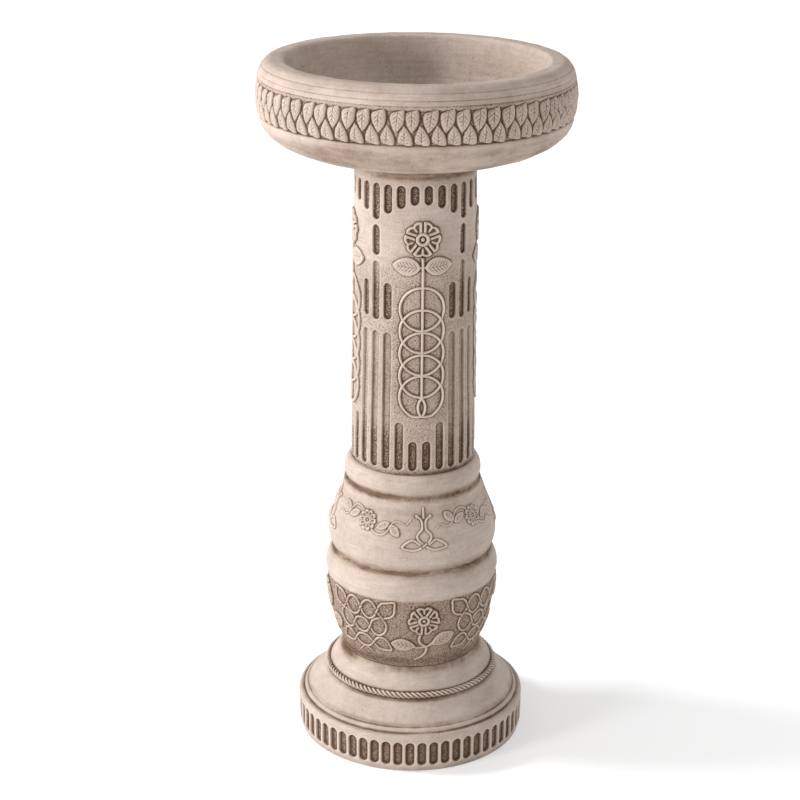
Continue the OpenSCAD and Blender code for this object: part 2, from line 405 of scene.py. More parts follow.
def finish_values(relief, height, darkening, seed):
    """How much wash and painted shade, how rough and how proud the stone is at each point, from 0 to 1."""
    ground = np.tile(relief.ground, relief.repeats)
    beside = blurred(height, 1, 2) - height
    around = blurred(height, 3, 5) - height
    hollow = 0.62 * np.clip(beside / 0.3, 0, 1) + 0.42 * np.clip(around / 0.8, 0, 1)
    hollow *= 1 - 0.75 * np.tile(relief.flute, relief.repeats)
    proud = np.clip(-beside / 0.3, 0, 1)
    # Painted shade in the creases of the outline, where it turns inwards.
    painted_crease_shade = np.clip((creases(relief.rows, CREASE_REACH) - 0.06) / 0.5, 0, 1)[:, None]
    uneven = 0.95 + 0.22 * grain(height.shape, (8, 120), seed) + 0.1 * grain(height.shape, (3, 12), seed + 1)
    uneven = 1 + (np.clip(uneven, 0.4, 1.6) - 1) * soft_step(8, 50, relief.radius)[:, None]
    # Each row's darkening holds brown wash and painted shade, and the creases add more painted shade.
    stain_and_shade = darkening[:, None] + np.where(relief.side[:, None], 0.8 * painted_crease_shade, 0)
    return {"hollow": np.clip(hollow + stain_and_shade * uneven, 0, 1), "ground": ground, "proud": proud}


# %% Turn a casting
def turn_casting(name, relief, bumps, darkening, seed):
    """A closed mesh from the repeated relief, plus bumps that don't repeat (millimetres)."""
    count = relief.columns
    height = np.tile(relief.height, relief.repeats) + bumps
    normal = outward_normals(relief.rows)
    radius = (relief.radius[:, None] + normal[:, :1] * height)[1:-1] * MM
    z = (relief.z[:, None] + normal[:, 1:] * height)[1:-1] * MM
    z = np.clip(z, relief.z.min() * MM, relief.z.max() * MM)
    angle = 2 * math.pi * np.arange(count) / count - math.radians(relief.sector / 2)
    ring_points = np.stack([radius * np.sin(angle), -radius * np.cos(angle), z], -1).reshape(-1, 3)
    poles = np.array([[0, 0, relief.z[0] * MM], [0, 0, relief.z[-1] * MM]])
    mesh = bpy.data.meshes.new(name)
    rings = len(relief.rows) - 2
    faces, uv = grid_faces(rings, count, relief.rows)
    fill_mesh(mesh, np.vstack([ring_points, poles]), faces)
    mesh.uv_layers.new(name="OFBake").data.foreach_set("uv", uv.ravel())
    for label, values in finish_values(relief, height, darkening, seed).items():
        flat = np.concatenate([values[1:-1].ravel(), [values[0].mean(), values[-1].mean()]])
        mesh.attributes.new(label, "FLOAT", "POINT").data.foreach_set("value", flat.astype(np.float32))
    print(name, "has", len(mesh.vertices), "points")
    print("  carved from", round(height.min(), 1), "to", round(height.max(), 1), "mm")
    return add_object(name, mesh)


def add_object(name, data):
    """A new object in the scene."""
    made = bpy.data.objects.new(name, data)
    bpy.context.scene.collection.objects.link(made)
    return made


def fill_mesh(mesh, points, faces):
    """Gives a mesh its points and its faces of three or four corners, all smooth."""
    corners = np.concatenate([f.ravel() for f in faces])
    sizes = np.concatenate([np.full(len(f), f.shape[1]) for f in faces])
    mesh.vertices.add(len(points))
    mesh.vertices.foreach_set("co", points.astype(np.float32).ravel())
    mesh.loops.add(len(corners))
    mesh.loops.foreach_set("vertex_index", corners.astype(np.int32))
    mesh.polygons.add(len(sizes))
    mesh.polygons.foreach_set("loop_start", (np.cumsum(sizes) - sizes).astype(np.int32))
    mesh.update(calc_edges=True)
    mesh.polygons.foreach_set("use_smooth", np.ones(len(sizes), bool))


def grid_faces(rings, count, rows):
    """Faces between the rings and to the two end points, and their places on a flat map."""
    here = np.arange(count)
    after = (here + 1) % count
    first = (np.arange(rings - 1) * count)[:, None]
    above = first + count
    quads = np.stack([first + here, first + after, above + after, above + here], -1).reshape(-1, 4)
    top = (rings - 1) * count
    lower_cap = np.stack([after, here, np.full(count, rings * count)], -1)
    upper_cap = np.stack([top + here, top + after, np.full(count, rings * count + 1)], -1)
    v = run_along(rows) / run_along(rows)[-1]
    left, right = here / count, (here + 1) / count
    grid = np.zeros((rings - 1, count, 4, 2))
    grid[..., 0] = np.stack([left, right, right, left], -1)
    grid[..., 1] = np.stack([v[1:-2], v[1:-2], v[2:-1], v[2:-1]], -1)[:, None]
    middle = (left + right) / 2
    low_u, low_v = np.stack([right, left, middle], -1), np.tile([v[1], v[1], v[0]], (count, 1))
    high_u, high_v = np.stack([left, right, middle], -1), np.tile([v[-2], v[-2], v[-1]], (count, 1))
    low_map, high_map = np.stack([low_u, low_v], -1), np.stack([high_u, high_v], -1)
    uv = np.concatenate([grid.reshape(-1, 2), low_map.reshape(-1, 2), high_map.reshape(-1, 2)])
    return [quads, lower_cap, upper_cap], uv.astype(np.float32)


# %% [markdown]
# ## The base
# Sixty round-ended flutes stand round its rim, with two rounded steps above them. A rope lies on the
# shoulder: a plain ring in the frame, whose strands we twist by cutting slanting grooves into it. Its
# brown wash and painted shade gather beside the rope, in the steps and under the vase.

# %% Rows and grit of the base
RIM_FLUTES = 60
RIM_FLUTE_LOW, RIM_FLUTE_HIGH, RIM_FLUTE_WIDTH = 7.5, 34.9, 9.3
LOWER_STEP, UPPER_STEP, BASE_TOP = 45, 51, 101
FOOT_RADIUS = 118
ROPE_STRANDS = 104
ROPE_RADIUS, ROPE_Z, ROPE_THICK = 93.0, 76.0, 6.2
STRAND_DEPTH = 1.4


def base_spacing(radius, z):
    if radius < 80 and z < BASE_TOP or z < 0.5:
        return 9.0
    return 0.45 if abs(z - ROPE_Z) < 5 else 0.7


def sandy(relief, seed, fine, coarse, stippled):
    """Fine grit, scattered pits and slow waves in a casting, in millimetres, and stippled rough ground."""
    shape = (len(relief.rows), relief.columns)
    grit = fine * grain(shape, (1.2, 1.2), seed)
    waves = coarse * grain(shape, (16, 22), seed + 1)
    pits = np.clip(grain(shape, (1.9, 1.9), seed + 2) - 2.3, 0, 1.2)
    rough = np.tile(relief.ground, relief.repeats)
    stipple = np.clip(grain(shape, (1.7, 1.9), seed + 3) - 0.2, 0, 1.4)
    total = grit + waves - 0.3 * pits - rough * (stippled * stipple - 1.5 * grit)
    return total * (relief.side * soft_step(8, 50, relief.radius))[:, None]


# %% Carve the base
base = Relief(trace(sections["base"], base_spacing), columns=1440, inner_radius=76.6)
for k in range(RIM_FLUTES // 4):
    cut_flute(base, (k + 0.5) * 360 / RIM_FLUTES - 45, RIM_FLUTE_LOW, RIM_FLUTE_HIGH, RIM_FLUTE_WIDTH)
from_rope = np.hypot(base.radius - ROPE_RADIUS, base.z - ROPE_Z)
on_rope = np.nonzero(np.abs(from_rope - ROPE_THICK / 2) < 0.12)[0]
round_rope = np.arctan2(base.z[on_rope] - ROPE_Z, base.radius[on_rope] - ROPE_RADIUS)
twist = base.angle[None, :] * ROPE_STRANDS / 360 + round_rope[:, None] / 2.2
base.height[on_rope] -= STRAND_DEPTH * np.abs(np.cos(math.pi * twist)) ** 4
outside = base.radius > 90
# Brown wash and painted shade beside the rope, in the steps, under the vase and at the foot.
base_wash_and_shade = (
    0.75 * fading(base.z, BASE_TOP, 6.0)
    + 0.5 * fading(base.z, LOWER_STEP, 1.6) * outside
    + 0.4 * fading(base.z, UPPER_STEP, 2.0) * outside
    + 1.0 * fading(from_rope, ROPE_THICK / 2 + 0.5, 0.8)
    + 0.3 * soft_step(9, 1, base.z) * (base.radius > FOOT_RADIUS)
)
base_wash_and_shade[on_rope] *= 0.15
base_grit = sandy(base, seed=11, fine=0.035, coarse=0.10, stippled=0.22)
base_piece = turn_casting("carved_base", base, base_grit, base_wash_and_shade, seed=120)

# %% [markdown]
# ## The vase
# Its lower half carries flowers on bent stems with a knot of two strands between each pair. A knot is
# drawn as plain strands first; then, at each crossing, the strand that runs over is laid again with a
# fine groove beside it. Neighbouring knots are mirror images, so the vase's sector is half a turn.

# %% Strands of the vase's knots
KNOT_RADIUS = 94.0
STRAND_W, STRAND_H = 2.7, 1.5
LONG_STRAND = [
    (0, 174.5), (1.5, 179.8), (3.4, 183.5), (6.35, 185.3), (9.3, 183.5), (11.2, 179.8), (12.7, 174.5),
    (14.6, 169.5), (17.1, 164.8), (18.8, 160), (19.2, 155), (17.9, 149), (15.6, 145), (12.7, 143.3),
    (9.8, 145.2), (8, 148.8), (6.6, 153), (5.2, 157.3), (3.2, 160.7), (0, 162.2),
]
CORNER_STRAND = [
    (0, 174.5), (1.5, 169.2), (3.4, 165.5), (6.35, 163.7), (9.3, 165.5), (11.2, 169.2), (12.7, 174.5),
    (14.2, 180.5), (16.5, 184.6), (20, 186), (24.9, 187), (25.1, 180), (24.8, 174), (22.3, 169),
    (17, 166.3), (12.3, 165), (9.2, 161.5), (7.7, 157), (6.5, 152.5), (5.2, 148.3), (3, 144.8), (0, 143.5),
]
FOOT_STRAND = [
    (0, 140.5), (3.2, 139.3), (5.8, 136), (7.8, 132), (9.8, 128), (12.4, 125), (16.5, 124.2), (21.6, 125),
    (20.6, 132), (18.6, 137.5), (15.3, 140.5), (12, 139.3), (9.8, 136), (7.8, 132), (5.8, 128), (3.2, 125),
    (0, 124),
]


def on_vase(points, flip):
    """Angles in degrees into millimetres round the vase, mirrored if flip is -1."""
    return np.array([(math.radians(angle) * KNOT_RADIUS * flip, z) for angle, z in points])


def draw_knot(relief, centre, hand):
    """Both halves of a knot. hand is 1 where the strands that rise to the right run over, else -1."""
    size = (STRAND_W, STRAND_H, KNOT_RADIUS)
    for flip in (1, -1):
        for points in (LONG_STRAND, CORNER_STRAND, FOOT_STRAND):
            draw_strand(relief, centre, on_vase(points, flip), *size)
        draw_strand(relief, centre, on_vase([(1.5, 123.5), (4.5, 119), (7.5, 114.5)], flip), *size, taper=0.5)
    for flip in (hand, -hand):
        over_corner = flip == hand
        inner = CORNER_STRAND if over_corner else LONG_STRAND
        outer = LONG_STRAND if over_corner else CORNER_STRAND
        for points, crossing in (
            (inner, (12.7, 174.5)),
            (inner, (6.6, 153)),
            (outer, (16.3, 166.2)),
            (FOOT_STRAND[8:] if over_corner else FOOT_STRAND[:8], (7.8, 132)),
        ):
            place = on_vase([crossing], flip)[0]
            pass_over(relief, centre, on_vase(points, flip), place, *size)
    middle = on_vase([(-3.2, 166.5), (0, 174.5), (3.2, 182.5)], hand)
    pass_over(relief, centre, middle, middle[1], *size)


# %% [markdown]
# ## Flowers, symbols and sprigs on the vase
# The upper half has a looped symbol over each flower and a pair of leafy sprigs round a daisy between the
# symbols. A sprig is drawn once and turned half round its daisy for the other side, as on the real one.

# %% Flowers and symbols
FORK = (3.8, 131.5)


def draw_flower(relief, centre):
    """A rose on a bent stem with a leaf on each side, on the vase's lower half."""
    upper_stem = [(0, 157), (0.2, 152), (-2.8, 148), (-4.6, 143), (-3.8, 138), (-1, 134.3), FORK]
    draw_strand(relief, centre, upper_stem, 3.3, 1.6)
    draw_strand(relief, centre, [FORK, (-3, 130.3), (-9.5, 130.8)], 2.6, 1.5)
    draw_strand(relief, centre, [FORK, (7.5, 133), (10, 136)], 2.6, 1.5)
    foot = [FORK, (4.2, 126), (2.3, 121), (-2, 116.5), (-8, 113.5)]
    draw_strand(relief, centre, foot, 3.5, 1.5, taper=0.2)
    draw_leaf(relief, centre, (-7.5, 132), (-35, 136), 17, 1.9, fullness=0.55)
    draw_leaf(relief, centre, (9, 134), (35, 146.5), 17.5, 1.9, fullness=0.52)
    draw_rose(relief, centre, (0, 165.7), 18.0, 2.3, 0)


def draw_symbol(relief, centre):
    """A spike with two curled arms that cross and end in leaf-shaped loops."""
    draw_strand(relief, centre, [(0, 292), (0, 287), (0, 282)], 2.5, 1.4)
    arm = [
        (6.9, 283.2), (3.3, 280.5), (1.8, 277), (1.8, 272), (2.8, 269.5), (6.2, 266.3), (7.6, 262.7),
        (5.6, 258.7), (0, 254.7), (-6, 250.8), (-13.6, 249.3), (-24.3, 252.3), (-13.6, 259.7), (-5, 255.5),
    ]
    mirrored = [(-x, z) for x, z in arm]
    for line in (arm, mirrored):
        draw_strand(relief, centre, line, 2.5, 1.4)
        draw_strand(relief, centre, [line[0], (line[0][0] * 1.02, line[0][1] + 0.2)], 4.0, 1.7)
    pass_over(relief, centre, arm, (0, 254.7), 2.5, 1.5)


# %% Sprigs and daisies
DAISY_Z = 274.5
DAISY_REACH = 14
SPRIG_RADIUS = 80.8
SPRIG_STEM = [
    (5, 266), (8, 263.5), (11.5, 262.5), (15, 264), (17.5, 268), (18.5, 272), (21, 276), (24, 277.5),
    (27, 276.5), (30, 274.5),
]
SPRIG_LEAVES = [((8.5, 268.5), (18.5, 275.5), 8.5), ((18.6, 273.5), (26, 263), 9.5)]
SPRIG_DASHES = [[(31, 275.5), (32.2, 277)], [(33, 278), (34, 279.5)]]


def on_sprig(points, turn):
    """Angles in degrees into millimetres round the vase, turned half round the daisy if turn is -1."""
    return [(turn * math.radians(a) * SPRIG_RADIUS, DAISY_Z + turn * (z - DAISY_Z)) for a, z in points]


def draw_sprigs(relief, centre):
    """A leafy stem on each side of a daisy."""
    for turn in (1, -1):
        draw_strand(relief, centre, on_sprig(SPRIG_STEM, turn), 2.2, 1.3, SPRIG_RADIUS, taper=0.35)
        for foot, tip, width in SPRIG_LEAVES:
            ends = on_sprig([foot, tip], turn)
            draw_leaf(relief, centre, *ends, width, 1.5, SPRIG_RADIUS, veins=3, fullness=0.5)
        for dash in SPRIG_DASHES:
            draw_strand(relief, centre, on_sprig(dash, turn), 1.8, 0.8, SPRIG_RADIUS)


def draw_daisy(relief, centre):
    """Ten narrow petals round a ring and a ball."""
    rows = relief.band(DAISY_Z - DAISY_REACH, DAISY_Z + DAISY_REACH)
    x, y = relief.place(rows, centre, SPRIG_RADIUS)
    y = y - DAISY_Z
    r, around = np.hypot(x, y), np.arctan2(y, x)
    lobe = np.abs(np.cos(around * 5))
    outline = 8.6 + 2.4 * lobe**0.7
    petals = soft_step(0, 0.9, outline - r) * soft_step(3.6, 4.4, r) * soft_step(0.08, 0.32, lobe)
    petals *= 1 - 0.75 * soft_step(0.72, 0.92, lobe) * soft_step(8.6, 7.4, r) * soft_step(4.6, 5.4, r)
    ring = round_back(r - 3.1, 2.0, 1.0)
    ball = round_back(r, 2.4, 1.0)
    raised = 1.7 * np.maximum(petals, np.maximum(ring, ball))
    relief.height[rows] = np.where(r < outline, np.maximum(raised, 0), relief.height[rows])


# %% Carve the vase
VASE_FOOT, SHOULDER, COLLAR_CREASE, VASE_TOP = 103, 286, 302, 325
VASE_SEAT_RADIUS = 73.0
VASE_FACE = 2.65
SPRIG_SHIFT = {-45: 1.2, 45: -2.6}


def vase_spacing(radius, z):
    if radius < VASE_SEAT_RADIUS or z < VASE_FOOT + 0.5 or z > VASE_TOP - 0.1:
        return 9.0
    return 0.55 if z < SHOULDER + 10 else 0.8


vase = Relief(trace(sections["vase"], vase_spacing), columns=1200, inner_radius=VASE_SEAT_RADIUS, repeats=2)
for half in (0, 90):
    draw_flower(vase, VASE_FACE + half)
    draw_symbol(vase, VASE_FACE + half)
for between, shift in SPRIG_SHIFT.items():
    draw_sprigs(vase, VASE_FACE + between + shift)
    draw_daisy(vase, VASE_FACE + between + shift)
draw_knot(vase, VASE_FACE - 45, 1)
draw_knot(vase, VASE_FACE + 45, -1)
waist = np.nonzero((vase.z > 205) & (vase.z < 240) & vase.side)[0]
waist_z = vase.z[waist[np.argmin(vase.radius[waist])]]
print("waist at", round(waist_z, 1), "mm")
lower_ground = soft_step(98, 105, vase.z) * soft_step(191, 187, vase.z) * vase.side
free_ground = np.clip(1 - vase.height / 0.5, 0, 1)
vase.ground += lower_ground[:, None] * (0.36 + 0.4 * free_ground)
vase.height -= 0.35 * (lower_ground * soft_step(103, 112, vase.z))[:, None]
# Brown wash and painted shade in the collar crease, the waist, above the foot and at the shoulder.
vase_wash_and_shade = (
    1.0 * fading(vase.z, COLLAR_CREASE, 4.2)
    + 0.7 * fading(vase.z, waist_z, 6.0)
    + 0.35 * fading(vase.z, VASE_FOOT + 3, 9.0)
    + 0.2 * fading(vase.z, SHOULDER, 6.0)
)
vase_grit = sandy(vase, seed=21, fine=0.05, coarse=0.10, stippled=0.3)
vase_piece = turn_casting("carved_vase", vase, vase_grit, vase_wash_and_shade, seed=220)

# %% [markdown]
# ## The column
# Four faces carry a rose with two leaves over a chain of five rings, and round-ended flutes of different
# lengths fill the corners between them.

# %% Flutes of the column
FLUTE_PITCH = 360 / 28
COLUMN_FLUTE_WIDTH, COLUMN_FLUTE_STAIN = 8.4, 0.5
COLUMN_FOOT, COLUMN_TOP = 326.0, 654.0
UPPER_FLUTES = [
    (0, 14, 33), (1, 14, 37), (2, 14, 43.5), (3, 14, 51.5), (3, 58, 89.5), (3, 96.5, 159), (2, 118.5, 157)
]
LOWER_FLUTES = [(0, 37), (1, 58), (2, 156), (3, 156)]


def cut_column_flutes(relief):
    """The flutes on both sides of a corner. Those in the corner itself, number 3, are cut only once."""
    spans = [(k, COLUMN_TOP - lower, COLUMN_TOP - upper) for k, upper, lower in UPPER_FLUTES]
    spans += [(k, COLUMN_FOOT + 5, COLUMN_FOOT + top) for k, top in LOWER_FLUTES]
    for side in (1, -1):
        for step_out, low, high in spans:
            if step_out < 3 or side > 0:
                centre = side * (step_out + 0.5) * FLUTE_PITCH
                cut_flute(relief, centre, low, high, COLUMN_FLUTE_WIDTH, COLUMN_FLUTE_STAIN)


# %% The column's chain
RING_R = 23.3
RING_CENTRES = [510.0, 486.0, 461.5, 437.0]
LOWEST_RING = 414
CHAIN_W, CHAIN_H = 3.0, 2.2


def circle(z, end=360):
    """Points of a circle round a height, from straight up and clockwise."""
    angles = [math.radians(a) for a in range(0, end + 1, 12)]
    return [(RING_R * math.sin(a), z + RING_R * math.cos(a)) for a in angles]


def draw_chain(relief, centre):
    """Five linked rings; the lowest one's ends cross and meet again higher up."""
    lowest = circle(LOWEST_RING, 156) + [(1.5, 392.2), (-2.6, 396), (-3.8, 402.5), (-2.6, 408.5), (0, 412.5)]
    mirrored = [(-x, z) for x, z in lowest]
    rings = [circle(z) for z in RING_CENTRES]
    for points in rings + [lowest, mirrored]:
        draw_strand(relief, centre, points, CHAIN_W, CHAIN_H)


# %% Carve the column
COLUMN_SEAT_RADIUS = 63.0
COLUMN_FACE = 1.4
SPROUT_Z = 555


def column_spacing(radius, z):
    if radius < COLUMN_SEAT_RADIUS or z < COLUMN_FOOT + 0.1 or z > COLUMN_TOP - 0.1:
        return 9.0
    return 0.5


column = Relief(trace(sections["column"], column_spacing), columns=960, inner_radius=COLUMN_SEAT_RADIUS)
draw_chain(column, COLUMN_FACE)
stem = [(-0.3, 568), (0, 550), (0, 500), (0, 450), (0, 412)]
draw_strand(column, COLUMN_FACE, stem, 3.0, 2.3)
for side in (1, -1):
    draw_strand(column, COLUMN_FACE, [(0, SPROUT_Z), (side * 3.0, SPROUT_Z)], 3.2, 1.9)
    foot, tip = (side * 2.6, SPROUT_Z - 0.5), (side * 31.5, SPROUT_Z + 2.5)
    draw_leaf(column, COLUMN_FACE, foot, tip, 20, 2.3, veins=6)
draw_rose(column, COLUMN_FACE - 0.4, (0, 585), 19.6, 2.6, first_petal=36)
cut_column_flutes(column)
panel = (0.15 + 0.85 * soft_step(590, 530, column.z)) * column.side
flat = np.clip(1 - np.abs(column.height) / 0.5, 0, 1)
column.ground = np.maximum(column.ground, 0.34 * panel[:, None] * flat)
# Wash and painted shade at the foot joint, and stain with painted shade on the column's top under the bowl.
column_wash_and_shade = 0.6 * fading(column.z, COLUMN_FOOT + 1, 3.5) + 0.75 * fading(column.z, COLUMN_TOP - 2, 8.0)
column_grit = sandy(column, seed=31, fine=0.06, coarse=0.08, stippled=0.8)
column_piece = turn_casting("carved_column", column, column_grit, column_wash_and_shade, seed=320)

# %% [markdown]
# ## The bowl
# A band of leaves runs round it in two rows of sixty-four, the upper ones hanging and the lower ones
# standing in the gaps between them. Each leaf's left side dips under its neighbour, and a cut midrib and
# side veins mark it. A hand-carved row is never quite even, so each leaf slips and leans a little.
# We carve inwards from the frame's surface, so the leaves' crests keep the bowl's real diameter.

# %% One leaf of the band
LEAVES = 64
LEAF_PITCH = 360 / LEAVES
FIRST_LEAF = 0.43
LEAF_RADIUS = 167.0
LEAF_DEPTH = 3.3
LEAF_SPREAD = 0.15
LEAF_DIP = 1.3
LEAF_SHOULDER = 4.4
VEIN_DEPTH = 0.65
UPPER_LEAF = [
    (8.9, 716.1), (6.2, 720.2), (4.0, 725.4), (2.6, 730.6), (2.7, 734.6), (4.9, 737.0), (9.2, 738.4),
    (13.4, 739.8), (16.8, 741.4), (18.2, 738.4), (18.4, 731.6), (16.6, 725.2), (12.8, 719.8),
]
LOWER_LEAF = [
    (0.9, 725.3), (-2.6, 720), (-5.2, 714.0), (-6.2, 708.8), (-5.0, 706.0), (-1.6, 704.6), (2.6, 703.7),
    (6.8, 703.2), (9.5, 704.6), (9.6, 709.5), (7.8, 715.6), (4.6, 721.2),
]
UPPER_RIB = [(9.8, 719), (10.4, 728), (11.5, 739)]
LOWER_RIB = [(1.6, 722), (1.6, 713), (0.8, 704.5)]


def outline_depth(x, y, points):
    """How far each place lies inside a closed outline; negative outside. The first point is a sharp tip."""
    line = spline(points + points[:1], 5)
    distance, _ = distance_to_line(x, y, line)
    inside = np.zeros(x.shape, bool)
    for a, b in zip(line[:-1], line[1:]):
        if a[1] != b[1]:
            crosses = (a[1] > y) != (b[1] > y)
            inside ^= crosses & (x < a[0] + (y - a[1]) / (b[1] - a[1]) * (b[0] - a[0]))
    return np.where(inside, distance, -distance)


def leaf_height(x, z, outline, rib):
    """Height of one swelling leaf below its crest, with a cut midrib and side veins."""
    depth = outline_depth(x, z, outline) + LEAF_SPREAD
    swell = np.clip(depth / LEAF_SHOULDER, 0, 1)
    left, right = min(point[0] for point in outline), max(point[0] for point in outline)
    dip = LEAF_DIP * soft_step(right - 3, left, x)
    line = spline(rib)
    off, along = distance_to_line(x, z, line)
    midrib = fading(off, 0, 0.5)
    vein = (along * 4.6 + off * 0.22) % 1 - 0.5
    veins = fading(vein, 0, 0.14) * soft_step(5.5, 3.5, off)
    cuts = np.maximum(midrib, 0.75 * veins) * soft_step(0.5, 1.8, depth)
    crest = LEAF_DEPTH * (np.sqrt(swell * (2 - swell)) - 1) - dip
    return np.where(depth > 0, np.maximum(crest - VEIN_DEPTH * cuts, -LEAF_DEPTH), -LEAF_DEPTH)


# %% The band of leaves
BAND_FOOT, BAND_TOP, BAND_RADIUS = 701.5, 743.5, 150
LEAF_MIDDLE, LEAF_REACH = 6, 16
LEAF_SEED = 7


def carve_leaves(relief):
    """Both rows of leaves of one sector, and the shallow ground that runs out above them."""
    rows = np.nonzero((relief.radius > BAND_RADIUS) & (relief.z > BAND_FOOT) & (relief.z < BAND_TOP))[0]
    carved = np.full((len(rows), len(relief.angle)), -LEAF_DEPTH)
    hand = np.random.default_rng(LEAF_SEED)
    for k in range(LEAVES // 4):
        for outline, rib in ((UPPER_LEAF, UPPER_RIB), (LOWER_LEAF, LOWER_RIB)):
            x, z = relief.place(rows, FIRST_LEAF + k * LEAF_PITCH, LEAF_RADIUS)
            near = np.nonzero(np.abs(x[0] - LEAF_MIDDLE) < LEAF_REACH)[0]
            slip = hand.uniform(-0.35, 0.35, 2)
            lean = hand.uniform(-0.09, 0.09) * (z[:, near] - outline[0][1])
            leaf = leaf_height(x[:, near] - slip[0] - lean, z[:, near] - slip[1], outline, rib)
            leaf -= hand.uniform(0, 0.4) * (leaf > -LEAF_DEPTH)
            carved[:, near] = np.maximum(carved[:, near], leaf)
    z = relief.z[rows][:, None]
    carved = np.maximum(carved, -0.5 - (LEAF_DEPTH - 0.5) * soft_step(741.6, 737.5, z))
    band = soft_step(BAND_FOOT, BAND_FOOT + 1.5, z) * soft_step(BAND_TOP, BAND_TOP - 0.9, z)
    relief.height[rows] = carved * band
    relief.ground[rows] = np.maximum(relief.ground[rows], 0.26 * band)


# %% Carve the bowl
BOWL_FOOT, BOWL_SEAT_RADIUS = 655, 64.0
BASIN_RADIUS = 137
RIM_LINES = (747.5, 754.0)


def bowl_spacing(radius, z):
    if radius < BOWL_SEAT_RADIUS and z < 685 or z < BOWL_FOOT + 0.5:
        return 9.0
    if z > 700 and radius > BAND_RADIUS:
        return 0.5
    return 1.4


bowl = Relief(trace(sections["bowl"], bowl_spacing), columns=2048, inner_radius=64.4)
carve_leaves(bowl)
for line_z in RIM_LINES:
    on_rim = (bowl.radius > 145) & (np.abs(bowl.z - line_z) < 2.5)
    bowl.height -= (0.35 * fading(bowl.z, line_z, 0.7) * on_rim)[:, None]
past_rim = np.arange(len(bowl.z)) > np.argmax(bowl.radius)
basin_side = past_rim & (bowl.radius < BASIN_RADIUS)
in_basin = basin_side * soft_step(756, 715, bowl.z)
bowl.side |= basin_side
bowl.ground += 0.08 * in_basin[:, None]
# Stain and painted shade under the bowl: at its seat on the column and over its lower part.
stain_and_shade_under_bowl = 0.7 * fading(bowl.z, BOWL_FOOT + 2, 6.0) + 0.5 * soft_step(706, 692, bowl.z)
bowl_wash_and_shade = 0.8 * stain_and_shade_under_bowl * (bowl.radius > BOWL_SEAT_RADIUS) * ~basin_side + 0.08 * in_basin
# A little darker on the rim's top, and wash with painted shade in the groove above the leaves.
bowl_wash_and_shade += 0.16 * soft_step(740, 748, bowl.z) * (bowl.radius > 138)
bowl_wash_and_shade += 0.3 * fading(bowl.z, BAND_TOP - 1.5, 2.0) * (bowl.radius > BAND_RADIUS)
bowl_grit = sandy(bowl, seed=41, fine=0.035, coarse=0.12, stippled=0.9)
bowl_piece = turn_casting("carved_bowl", bowl, bowl_grit, bowl_wash_and_shade, seed=420)

# %% [markdown]
# ## The stone's finish
# Cast stone is matt and warm grey. Its colour comes from three layers: slow patches and fine specks in
# the stone itself, brown wash in each hollow and on each rough ground, with painted shade added in the
# creases and under overhangs, and pale worn crests that also carry a painted highlight. The three
# values stored with the points say where each layer goes, so the finish follows the carving.

# %% Stone material
def node(tree, kind, inputs=None, **settings):
    """Adds a node; inputs gives a number, a colour or another node's socket for each input."""
    made = tree.nodes.new("ShaderNode" + kind)
    for key, value in settings.items():
        setattr(made, key, value)
    for key, value in (inputs or {}).items():
        if isinstance(value, bpy.types.NodeSocket):
            tree.links.new(value, made.inputs[key])
        else:
            made.inputs[key].default_value = value
    return made


def maths(tree, operation, a, b=0.0, clamp=False):
    return node(tree, "Math", {0: a, 1: b}, operation=operation, use_clamp=clamp).outputs[0]


def mixed(tree, factor, a, b, blend="MIX"):
    return node(tree, "Mix", {0: factor, 6: a, 7: b}, data_type="RGBA", blend_type=blend).outputs[2]


def noise(tree, place, size, detail=4.0, roughness=0.6):
    """Noise whose patches are about size millimetres wide."""
    inputs = {"Vector": place, "Scale": 1000 / size, "Detail": detail, "Roughness": roughness}
    return node(tree, "TexNoise", inputs).outputs["Fac"]


def stretch(tree, value, low, high):
    return node(tree, "MapRange", {"Value": value, "From Min": low, "From Max": high}).outputs[0]


def new_material(name, roughness, metallic=0.0):
    material = bpy.data.materials.new(name)
    material.use_nodes = True
    shader = material.node_tree.nodes["Principled BSDF"]
    shader.inputs["Roughness"].default_value = roughness
    shader.inputs["Metallic"].default_value = metallic
    return material, material.node_tree, shader


def dress(tree, shader, colour, height, strength, depth, mottle, smooth, rough):
    """A colour, a bump of some strength and depth in metres, and a roughness that follows a mottle."""
    bump = node(tree, "Bump", {"Height": height, "Strength": strength, "Distance": depth})
    dull = node(tree, "MapRange", {"Value": mottle, "To Min": smooth, "To Max": rough})
    for name, source in (("Base Color", colour), ("Normal", bump.outputs[0]), ("Roughness", dull.outputs[0])):
        tree.links.new(source, shader.inputs[name])


STONE_LIGHT = (0.62, 0.525, 0.455, 1)
STONE_MID = (0.492, 0.408, 0.358, 1)
STONE_DARK = (0.33, 0.258, 0.214, 1)
# Wash colours: the brown wash, and painted shade where creases and overhangs darken the stone.
THIN_WASH_AND_SHADE = (0.45, 0.335, 0.225, 1)
THICK_WASH_AND_SHADE = (0.42, 0.36, 0.31, 1)


